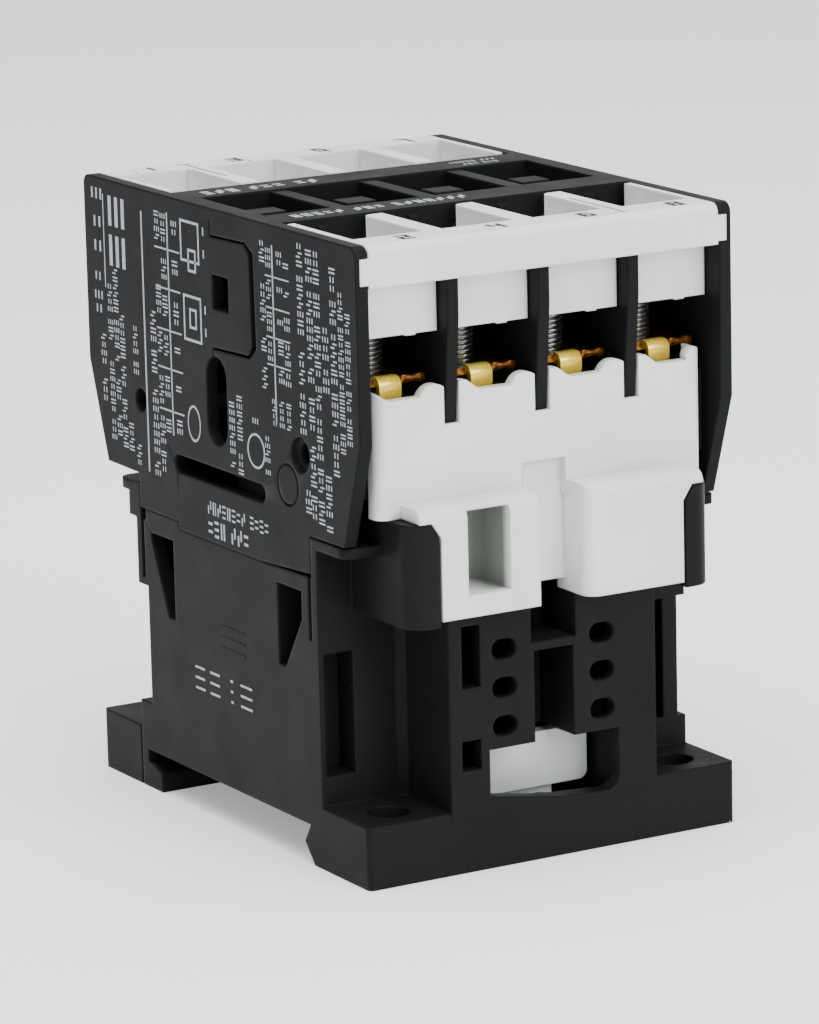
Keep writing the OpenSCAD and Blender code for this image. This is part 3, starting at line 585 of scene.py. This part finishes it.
def helix(wire, radius, low, high, turns, steps=24, sides=8):
    """Rings of a round wire wound along Z with one flat turn at each end."""
    rise = (high - low - 2 * wire - 4 * wire) / turns
    rings = []
    total = turns + 2
    for k in range(int(total * steps) + 1):
        t = k / steps
        flat_turns = min(t, 1) + max(t - 1 - turns, 0)
        z = low + wire + 2 * wire * flat_turns + rise * min(max(t - 1, 0), turns)
        turn = 2 * math.pi * t
        c, s = math.cos(turn), math.sin(turn)
        rings.append([((radius + wire * math.cos(a)) * c, (radius + wire * math.cos(a)) * s,
                       z + wire * math.sin(a)) for a in (2 * math.pi * j / sides for j in range(sides))])
    return rings


def spring(name, body, node, sizes, place):
    """A coil of the given helix sizes."""
    solid = Solid()
    solid.skin(helix(*sizes))
    obj = solid.make(name, WIRE, body, stands_for=(node,), place=place)
    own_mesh(obj)


def springs():
    for i in range(1, 5):
        low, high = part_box(f"contact_spring_{i}")
        x = (low.x + high.x) / 2
        spring(f"contact_coil_{i}", "carrier", f"contact_spring_{i}",
               (0.28, 1.6, low.z / MM, high.z / MM, 4), Matrix.Translation((x, 0, 0)))
    low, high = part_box("return_springs")
    for name, y in (("return_coil_load", low.y + 2.1 * MM), ("return_coil_line", high.y - 2.1 * MM)):
        spring(name, HOUSING, "return_springs", (0.3, 1.8, low.z / MM, high.z / MM, 6),
               Matrix.Translation((0, y, 0)))
    low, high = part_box("latch_spring")
    z = (low.z + high.z) / 2
    lying = Matrix.Translation((0, low.y, z)) @ Matrix.Rotation(math.radians(-90), 4, "X")
    spring("latch_coil", HOUSING, "latch_spring", (0.15, 0.75, 0, (high.y - low.y) / MM, 4), lying)


# ---------- print ----------

INK_T = 0.015


class Sheet:
    """Thin printed marks on one face: u runs along the writing, v across it, both in millimetres."""

    def __init__(self, to_corner):
        self.solid = Solid()
        self.to_corner = to_corner

    def bar(self, u0, v0, u1, v1):
        a, b = self.to_corner(u0, v0, 0.0), self.to_corner(u1, v1, INK_T)
        self.solid.box([min(p) for p in zip(a, b)], [max(p) for p in zip(a, b)])

    def dashes(self, start, stop, v, height, heavy=0.16):
        """A row of plain stacked or upright strokes between two u values, grouped with gaps."""
        way = 1 if stop > start else -1
        u, left = start, rng.randint(3, 8)
        wide, thick, half = 0.5 * height, heavy * height, height / 2
        while (stop - u) * way > wide:
            kind = rng.randint(0, 3)
            a, b = u, u + way * wide
            if kind < 2:
                levels = (-half, -thick / 2, half - thick) if kind else (-0.62 * half, 0.35 * half)
                for level in levels:
                    self.bar(a, v + level, b, v + level + thick)
            else:
                drop = half if kind == 2 else 0.3 * half
                self.bar(a, v - half, a + way * thick, v + drop)
                self.bar(b - way * thick, v - drop, b, v + half)
            u += way * (wide + 0.26 * height)
            left -= 1
            if left == 0:
                u += way * 0.55 * height
                left = rng.randint(3, 8)

    def digit(self, n, u, v, wide, tall):
        """A figure from 1 to 8 made of straight strokes, centred on (u, v)."""
        lit = {1: "bc", 2: "abged", 3: "abgcd", 4: "fgbc", 5: "afgcd", 6: "afgedc", 7: "abc",
               8: "abcdefg"}[n]
        t, x, y = 0.21 * tall, wide / 2, tall / 2
        bars = {"a": (-x, y - t, x, y), "b": (x - t, 0, x, y), "c": (x - t, -y, x, 0),
                "d": (-x, -y, x, -y + t), "e": (-x, -y, -x + t, 0), "f": (-x, 0, -x + t, y),
                "g": (-x, -t / 2, x, t / 2)}
        for key in lit:
            a, b, c, d = bars[key]
            self.bar(u + a, v + b, u + c, v + d)

    def frame(self, u0, v0, u1, v1, thick):
        """The outline of a box."""
        self.bar(u0, v0, u1, v0 + thick)
        self.bar(u0, v1 - thick, u1, v1)
        self.bar(u0, v0 + thick, u0 + thick, v1 - thick)
        self.bar(u1 - thick, v0 + thick, u1, v1 - thick)

    def circle(self, u, v, radius, thick, squeeze=1.0, count=28):
        """A printed ring, narrower across the writing where it is squeezed."""
        turns = [2 * math.pi * i / count for i in range(count)]
        start, n = len(self.solid.points), count
        for lift in (0.0, INK_T):
            for r in (radius, radius - thick):
                for a in turns:
                    point = self.to_corner(u + r * math.cos(a), v + r * squeeze * math.sin(a), lift)
                    self.solid.points.append(tuple(c * MM for c in point))
        for i in range(n):
            j = (i + 1) % n
            for a, b in ((0, 1), (1, 3), (3, 2), (2, 0)):
                a, b = start + a * n, start + b * n
                self.solid.faces.append((a + i, a + j, b + j, b + i))

    def make(self, name, shader, slot):
        obj = self.solid.make(name, shader, HOUSING, slot=slot)
        obj.modifiers.clear()
        return obj


def side_print():
    """Ratings on the left flank as meaningless rows, rules and rings; the rows run up along Z."""
    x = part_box("upper_housing")[0].x / MM
    sheet = Sheet(lambda z, y, lift: (x - lift, y, z))
    # Y of the row, height of its strokes, then the spans along Z
    rows = (
        (26.8, 2.4, (63, 65.8), (60.2, 62.7), (57.5, 60)),
        (27, 1.8, (54.4, 56.5), (53, 54.4), (51.6, 52.9)),
        (26.2, 1.2, (45.8, 49.7), (41.9, 44.7)),
        (24.4, 1.1, (48.1, 55.5), (37.4, 46.9)),
        (23, 1.1, (46.9, 57.3), (42.4, 45.1), (37.5, 41.1)),
        (21.7, 1.1, (44.4, 52.4), (37.2, 43.1)),
        (20.3, 1.1, (36.9, 40.7)),
        (18.7, 1.1, (46.1, 51.7)),
        (18.6, 1.1, (35.8, 38.6)),
        (14.4, 1.2, (46.8, 54), (35.7, 45.4)),
        (12.9, 1.1, (62, 65.1), (53.7, 57.1), (49.5, 52), (44.1, 47.2), (35.4, 42.8)),
        (11.5, 1.1, (61.9, 65), (57.7, 60.1), (53.2, 56.1), (48.9, 51.8), (44.5, 47.3), (40.6, 42.6)),
        (9, 1.2, (62.1, 64.5), (57.8, 60.2), (53.1, 55.7), (49.7, 50.8), (45.4, 46.6), (40.5, 42.9)),
        (-2.8, 1.1, (39.3, 46.9)),
        (-4.5, 1.1, (39.3, 41.6), (42, 47.8)),
        (-10.4, 1, (40.3, 44.5)),
        (-10.3, 1.1, (62.1, 65.1), (56.3, 60.6), (52.9, 54.9), (49.4, 51.8)),
        (-11.6, 1, (61.9, 64.5), (58.5, 61.2), (55.4, 57.8), (52.6, 54.7)),
        (-13.9, 1.1, (62.3, 64.4), (59.5, 60.7), (56.1, 57.3), (53.2, 55), (50.5, 52)),
        (-15.3, 1.1, (62.1, 63.4), (59.2, 60.4), (55.6, 57.7), (52.6, 54.9), (49.9, 51.9)),
        (-12.2, 1, (45.6, 48.7)),
        (-13.7, 1, (45.6, 48.7)),
        (-15.2, 1, (45.6, 48.7)),
        (-18.2, 1.2, (55.4, 65.9), (45.1, 54.6)),
        (-18.9, 1.2, (37.2, 40.3)),
        (-20.1, 1.2, (50.9, 65.5), (45.9, 50.1), (36.9, 45.1)),
        (-21.6, 1.2, (52.4, 65.5), (36.9, 51.6)),
        (-23.2, 1.2, (50.9, 57.9), (36.5, 42.5)),
        (-24.9, 1.2, (41.9, 64.3)),
        (-26.4, 1, (45, 62)),
        (-27.8, 1, (46, 60)),
    )
    for y, tall, *spans in rows:
        for z0, z1 in spans:
            sheet.dashes(z1, z0, y, tall)
    rules = ((55, 65.3, 25.3, 0.18), (36, 64.6, 16.4, 0.3),
             (41, 65.2, 10.5, 0.25), (46.2, 64.9, -12.5, 0.25))
    for z0, z1, y, thick in rules:
        sheet.bar(z0, y - thick / 2, z1, y + thick / 2)
    for z in (43.6, 48.2, 52.4, 56.9, 61.2):
        sheet.bar(z - 0.09, 7.9, z + 0.09, 13.5)
    for z in (52.3, 55.2, 58.3, 61.6):
        sheet.bar(z - 0.08, -15.9, z + 0.08, -10.9)
    # plain outline boxes with a smaller box inside and a pair of short ticks beside each
    for z0, y0, z1, y1 in ((60.5, 3.4, 65.0, 7.6), (59.5, 4.2, 62.0, 6.0), (52.0, 3.3, 57.0, 7.3),
                           (53.4, 4.4, 55.6, 6.0)):
        sheet.frame(z0, y0, z1, y1, 0.28)
    for z in (53.0, 55.4, 61.4, 63.8):
        sheet.bar(z, 2.3, z + 0.9, 2.55)
    sheet.circle(43.1, 5.7, 2.0, 0.26, 0.72)
    sheet.circle(42.5, -7.9, 1.9, 0.24)
    sheet.dashes(46.0, 44.6, -7.9, 1.2)
    # two heavy plain blocks of bars
    for z0, z1 in ((62.0, 65.3), (57.6, 61.0)):
        for k in range(3):
            sheet.bar(z0, 20.4 + 1.5 * k, z1, 21.1 + 1.5 * k)
    sheet.make("side_print", INK, "light_moulding")
    # two level rows under the slot
    level = Sheet(lambda y, z, lift: (x - lift, y, z))
    level.dashes(3.2, -10.3, 34.5, 1.4)
    level.dashes(3.2, -7.4, 32.3, 1.8, 0.17)
    level.make("side_print_level", INK, "light_moulding")


def top_print():
    """Terminal numbers, pole lines and plain rows on the top faces."""
    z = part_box("terminal_cover_load")[1].z / MM
    numbers = Sheet(lambda u, v, lift: (u, v, z + lift))
    poles = [terminal_place(n)[0] / MM for n in (2, 4, 6, 8)]
    for n, x in zip((2, 4, 6, 8), poles):
        numbers.digit(n, x + 1.0, -27.2, 1.6, 2.3)
    for n, x in zip((1, 3, 5, 7), poles):
        numbers.digit(n, x + 0.4, 27.4, 1.5, 2.2)
    # pole lines on the outer tongues
    numbers.bar(10.4, -27.6, 10.62, -17.4)
    numbers.bar(9.5, -28.1, 11.3, -27.9)
    numbers.bar(-11.12, 18.2, -10.9, 27.6)
    numbers.bar(-12.0, 27.9, -10.2, 28.1)
    for x in (-17.9, -3.9, 6.4, 17.3):
        numbers.bar(x - 0.15, 25.7, x + 0.15, 26.1)
    numbers.make("top_numbers", GREY_INK, "black_moulding")
    bars = Sheet(lambda u, v, lift: (u, v, z + lift))
    bars.dashes(-18.6, -3.4, 9.4, 2.0, 0.22)
    bars.dashes(12.4, 18.6, 10.2, 0.9)
    bars.dashes(13.2, 18.2, 8.6, 0.9)
    bars.dashes(-18.2, 3.8, -9.3, 1.7, 0.2)
    bars.make("top_print", INK, "light_moulding")


def base_print():
    """Four plain marks and three faint raised bars on the left flank of the base."""
    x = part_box("base_housing")[0].x / MM
    marks = Sheet(lambda y, z, lift: (x - lift, y, z))
    for y, wide in ((6.2, 2.1), (2.9, 2.1), (-0.9, 0.5), (-4.1, 2.5)):
        for z in (13.75, 14.9, 16.05):
            marks.bar(y - wide / 2, z, y + wide / 2, z + 0.26)
    marks.make("base_marks", INK, "light_moulding")
    raised = Sheet(lambda y, z, lift: (x - lift * 2, y, z))
    for z in (19.4, 20.6, 21.8):
        raised.bar(-4.2, z, 1.2, z + 0.32)
    raised.make("base_moulded_mark", BLACK, "black_moulding")


main_screws()
coil_screws()
clamps()
springs()
side_print()
top_print()
base_print()


# ---------- camera, floor and lights ----------

def photo_camera():
    """A long lens from the front left, a little above the part, held a degree out of level."""
    azimuth, elevation, roll = (math.radians(a) for a in (-30.182, 12.841, -1.362))
    distance = 0.572677
    target = Vector((0.000388, 0, 0.031422))
    back = Vector((math.sin(azimuth) * math.cos(elevation), -math.cos(azimuth) * math.cos(elevation),
                   math.sin(elevation)))
    right = Vector((math.cos(azimuth), math.sin(azimuth), 0))
    up = back.cross(right)
    turned_right = right * math.cos(roll) + up * math.sin(roll)
    turned_up = up * math.cos(roll) - right * math.sin(roll)
    camera = bpy.data.objects.new("camera", bpy.data.cameras.new("camera"))
    camera.data.lens = 186.32
    camera.data.sensor_width = 36
    camera.data.clip_end = 20
    pose = Matrix((turned_right, turned_up, back)).transposed().to_4x4()
    pose.translation = target + back * distance
    camera.matrix_world = pose
    bpy.context.scene.collection.objects.link(camera)
    bpy.context.scene.camera = camera


def floor():
    mesh = bpy.data.meshes.new("floor")
    size, level = 6.0, -0.00005
    corners = ((-size, -size), (size, -size), (size, size), (-size, size))
    mesh.from_pydata([(x, y, level) for x, y in corners], [], [(0, 1, 2, 3)])
    ground = bpy.data.objects.new("floor", mesh)
    bpy.context.scene.collection.objects.link(ground)
    pale = Shader("pale_floor", Base_Color=rgb(0.86, 0.86, 0.86), Roughness=0.7)
    pale.surface.inputs["Emission Color"].default_value = rgb(1, 1, 1)
    pale.surface.inputs["Emission Strength"].default_value = 0.35
    paint(ground, pale)


def soft_light(name, spot, aim, size, power):
    """A square soft box at spot, facing aim."""
    data = bpy.data.lights.new(name, "AREA")
    data.shape = "SQUARE"
    data.size = size
    data.energy = power
    lamp = bpy.data.objects.new(name, data)
    lamp.location = spot
    lamp.rotation_euler = (Vector(aim) - Vector(spot)).to_track_quat("-Z", "Y").to_euler()
    bpy.context.scene.collection.objects.link(lamp)


def studio():
    world = bpy.data.worlds.new("studio")
    world.use_nodes = True
    # the room is darker on the left, so the flank stays deep black
    tree = world.node_tree
    split = tree.nodes.new("ShaderNodeSeparateXYZ")
    tree.links.new(tree.nodes.new("ShaderNodeTexCoord").outputs["Generated"], split.inputs[0])
    fade = tree.nodes.new("ShaderNodeMapRange")
    for key, value in (("From Min", -0.9), ("From Max", 0.1), ("To Min", 0.1), ("To Max", 0.9)):
        fade.inputs[key].default_value = value
    tree.links.new(split.outputs["X"], fade.inputs["Value"])
    tree.links.new(fade.outputs[0], tree.nodes["Background"].inputs["Strength"])
    tree.nodes["Background"].inputs["Color"].default_value = rgb(1.0, 1.0, 1.0)
    bpy.context.scene.world = world
    middle = (0, 0, 0.035)
    soft_light("top_box", (-0.1, -0.1, 0.9), middle, 0.8, 14)
    soft_light("left_box", (-0.8, -0.3, 0.45), middle, 0.6, 1.6)
    soft_light("front_box", (0.15, -0.9, 0.5), middle, 0.6, 7.2)


photo_camera()
floor()
studio()
